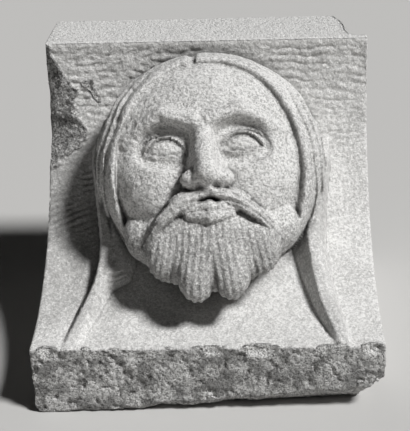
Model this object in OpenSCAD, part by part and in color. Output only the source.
// Stone corbel: one block with a quarter-hollow front, a bearded head carved in
// the hollow and two long locks of hair that run down to the foot.
// Millimetres. X runs across the block, the carved front faces -Y and Z is up.
// The origin is the middle of the underside of the block's box.

/* [Block] */
// Width of the block across the front
block_w = 250; // [225:1:310]
// Depth of the block, from the foot's front face to the back
block_d = 234; // [215:1:290]
// Height of the block, from the underside to the bed
block_h = 226; // [205:1:275]
// Height of the foot's front face
foot_h = 53; // [40:1:66]
// Depth of the flat bed on top
bed_d = 67; // [54:1:86]

/* [Head] */
// Width of the head over the hair
head_w = 180; // [150:1:196]
// Length of the head from the crown to the chin
head_l = 178; // [150:1:188]
// How far the middle of the face stands up from the head's middle
head_deep = 50; // [40:1:60]
// How far the face leans back from upright, in degrees
head_tilt = 38; // [30:1:46]
// Place round the hollow where the head sits, in degrees from the bed
seat_angle = 36; // [30:0.5:41]
// How far the middle of the head stands out from the hollow
head_stand = 30; // [22:1:36]
// How far the head sits right of the block's middle
head_offset = 3; // [0:1:10]
// How far the nose stands out from the face
nose_out = 20; // [12:1:26]
// Depth of the hair's edge above the face
hair_step = 4; // [2:0.5:7]
// Length of the beard's tips below the chin
beard_drop = 20; // [10:1:26]
// Depth of the notches between the beard's tips
beard_notch = 9; // [3:0.5:12]

/* [Locks] */
// Distance between the two locks beside the jaw
lock_gap = 160; // [142:1:172]
// Distance between the two locks at the foot's front edge
lock_spread = 194; // [165:1:212]
// Width of a lock beside the jaw
lock_w = 28; // [20:1:34]
// Width of a lock at the foot
lock_tip_w = 12; // [7:1:16]

/* [Breaks] */
// Width of the break along the left upper edge
left_break = 22; // [8:1:30]
// Depth of the break at the bed's right rear corner
rear_break = 17; // [6:1:24]
// Height of the long break under the foot, at its right end
foot_break = 18; // [6:1:26]
// Height of the worn corners at the foot's ends
corner_wear = 30; // [12:1:36]

/* [Detail] */
// Cells across the head's surface
head_cells = 60; // [30:2:64]
// Straight steps round the hollow
hollow_steps = 36; // [12:1:48]

/* [Hidden] */

front_y = -block_d / 2;
back_y = block_d / 2;
hollow_y = block_d - bed_d;
hollow_z = block_h - foot_h;
half_w = head_w / 2;
half_l = head_l / 2;
out = [0, -cos(head_tilt), sin(head_tilt)];
head_middle = hollow_point(seat_angle, head_offset) + head_stand * out;
skirt = 34;
lock_rise = 1.7;
dome_share = 0.86;
dome_power = 2.3;
beard_power = 4.5;
third = head_l * 0.27;
brow_y = head_l * 0.1;
nose_y = brow_y - third;
mouth_y = nose_y - third / 3;
chin_y = nose_y - third;
eye_x = head_w * 0.14;
opening_x = half_w - 26;
opening_y = half_l - 20;

// A point on the hollow: angle 0 is the bed's front edge and 90 the foot's.
function hollow_point(angle, x) =
    [x, front_y + hollow_y * cos(angle), block_h - hollow_z * sin(angle)];

// Blends: a straight mix, a smooth step from a to b, and a smooth bump of size 1.
function mix(a, b, t) = a + (b - a) * t;
function step(a, b, v) =
    let (t = max(0, min(1, (v - a) / (b - a)))) t * t * (3 - 2 * t);
function bump(dx, dy) = exp(-(dx * dx + dy * dy));
function softmax(a, b, k) = (a + b + sqrt((a - b) * (a - b) + k * k)) / 2;

// The head's outline from its middle: an egg, with a scalloped beard at the foot.
function beard_share(angle) = step(-0.62, -0.93, sin(angle));
function outline_reach(angle) =
    let (
        low = sin(angle) < 0,
        long = low ? half_l - 4 : half_l,
        wide = low ? half_w * (1 - 0.27 * pow(sin(angle), 2)) : half_w,
        egg = 1 / norm([cos(angle) / wide, sin(angle) / long]),
        tip = abs(sin((angle + 90) * 180 / 26))
    ) egg + beard_share(angle) * (beard_drop - beard_notch * (1 - tip));

// Relief on the face, in the head's own frame: x across (alike on both sides, so
// its size is enough) and y up the face.
function hair_relief(x, y) =
    let (
        edge = norm([x / opening_x, (y + 16) / opening_y]),
        on = step(0.9, 1.06, edge) * step(-70, -35, y)
    ) hair_step * on - 4 * bump(x / 5, (y - half_l + 4) / 18);
function brow_relief(x, y) =
    let (arch = brow_y + 2 - 0.006 * pow(x - eye_x, 2))
    4.5 * exp(-pow((y - arch) / 7, 2)) * step(54, 34, x);
function eye_relief(x, y) =
    let (ey = brow_y - 13)
    -9 * bump((x - eye_x) / 18, (y - ey) / 11)
    + 8 * bump((x - eye_x) / 11, (y - ey) / 6.5);
function nose_relief(x, y) =
    let (
        t = step(brow_y + 8, nose_y + 6, y),
        wide = mix(6.5, 10, t),
        ridge = mix(5, nose_out, t) * step(nose_y - 6, nose_y + 3, y) * step(brow_y + 16, brow_y, y)
    ) ridge * exp(-pow(x / wide, 4))
      + 7 * bump((x - 11) / 5.5, (y - nose_y - 4) / 6);
function mouth_relief(x, y) =
    let (dy = y - mouth_y - 0.004 * x * x)
    step(30, 14, x) * (3 * exp(-pow((dy - 5) / 5.5, 2)) + 4 * exp(-pow((dy + 7) / 6, 2)));
function moustache_relief(x, y) =
    let (line = nose_y - 7 - 0.0105 * x * x)
    5 * exp(-pow((y - line) / 7, 2)) * step(-2, 9, x) * step(50, 32, x);
function beard_relief(x, y) =
    let (
        top = mouth_y - 15 + 0.014 * x * x,
        on = step(top + 6, top - 6, y) * step(70, 50, x)
    ) on * (8 - 5 * bump(x / 5, (y - chin_y + 12) / 18));
function cheek_relief(x, y) = 4 * bump((x - 34) / 16, (y - nose_y - 10) / 18);
function relief(x, y) =
    brow_relief(x, y) + eye_relief(x, y) + cheek_relief(x, y) + mouth_relief(x, y)
    + softmax(nose_relief(x, y), moustache_relief(x, y), 1)
    + softmax(hair_relief(x, y), beard_relief(x, y), 1);

// A square grid laid on a disc, so the face has no pinched middle.
function disc(u, v) = [u * sqrt(1 - v * v / 2), v * sqrt(1 - u * u / 2)];

// One point of the head: a squared dome, then a skirt straight back into the block.
function head_point(u, v) =
    let (
        d = disc(u, v),
        r = max(norm(d), 0.00001),
        angle = atan2(d.y, d.x),
        t = min(1, r / dome_share),
        s = t * (1.12 - 0.12 * pow(t, 6)),
        power = mix(dome_power, beard_power, beard_share(angle)),
        rise = pow(max(0, 1 - pow(s, power)), 1 / power),
        far = outline_reach(angle) * s,
        x = far * d.x / r,
        y = far * d.y / r,
        fade = step(0, 0.45, rise),
        drop = skirt * max(0, r - dome_share) / (1 - dome_share)
    ) [x, y, head_deep * rise + fade * relief(abs(x), y) - drop];

module head() {
    n = head_cells;
    shell = [
        for (j = [0:n], i = [0:n])
            let (p = head_point(2 * i / n - 1, 2 * j / n - 1)) [p.x, -p.z, p.y]
    ];
    rim = concat(
        [for (i = [0:n - 1]) i],
        [for (j = [0:n - 1]) j * (n + 1) + n],
        [for (i = [n:-1:1]) n * (n + 1) + i],
        [for (j = [n:-1:1]) j * (n + 1)]);
    front = [
        for (j = [0:n - 1], i = [0:n - 1])
            let (k = j * (n + 1) + i, turned = (i < n / 2) != (j < n / 2))
            each turned
                ? [[k, k + n + 1, k + 1], [k + 1, k + n + 1, k + n + 2]]
                : [[k, k + n + 2, k + 1], [k, k + n + 1, k + n + 2]]
    ];
    back = [
        for (i = [0:len(rim) - 1]) [rim[i], rim[(i + 1) % len(rim)], len(shell)]
    ];
    translate(head_middle) rotate([-head_tilt, 0, 0])
        polyhedron(concat(shell, [[0, skirt, 0]]), concat(front, back));
}

// The block's side outline, with the hollow as a quarter of an ellipse.
module outline() {
    polygon(concat(
        [[back_y, block_h], [back_y, 0], [front_y, 0]],
        [for (i = [hollow_steps:-1:0])
            let (e = hollow_point(90 * i / hollow_steps, 0)) [e.y, e.z]]));
}

module block() {
    translate([-block_w / 2, 0, 0]) rotate([90, 0, 90])
        linear_extrude(block_w) outline();
}

// A lock lies half sunk in the hollow, from the temple down to the foot's edge.
module lock(side) {
    stops = [33, 44, 55, 66, 76, 87];
    for (i = [0:len(stops) - 2])
        hull() {
            lock_ball(stops[i], side);
            lock_ball(stops[i + 1], side);
        }
}

module lock_ball(angle, side) {
    t = (angle - 33) / 54;
    gap = t < 0.4 ? mix(head_w - 6, lock_gap, t / 0.4) : mix(lock_gap, lock_spread, (t - 0.4) / 0.6);
    translate(hollow_point(angle, side * gap / 2 + head_offset * (1 - t)) + lock_rise * out)
        sphere(d = mix(lock_w, lock_tip_w, sqrt(t)), $fn = 16);
}

// A hollow scar where a flake has come away: an egg of the given half sizes. The
// foot's lower front edge has also gone along a slope that deepens to the right.
module scar(place, turn, half) {
    translate(place) rotate(turn) scale(half) sphere(r = 1, $fn = 28);
}

module scars() {
    scar(hollow_point(18, -block_w / 2 - 26), [16, 0, 8], [left_break + 26, 17, 66]);
    scar([block_w / 2 + 26, back_y, block_h + 26], [0, 0, -8], [rear_break + 26, bed_d, 60]);
    scar([block_w / 2 + 12, front_y, -14], [0, 0, 0], [32, 56, corner_wear + 14]);
    scar([-block_w / 2 - 14, front_y, -14], [0, 0, 0], [27, 56, corner_wear + 14]);
    hull() for (end = [[-0.42, 0.4], [0.5, foot_break]])
        translate([end.x * block_w, front_y, 0]) rotate([0, 90, 0])
            cylinder(r = end.y, h = 2, $fn = 4, center = true);
}

module stone_corbel() {
    color("gainsboro") {
        difference() {
            block();
            scars();
        }
        head();
        for (side = [-1, 1]) lock(side);
    }
}

stone_corbel();
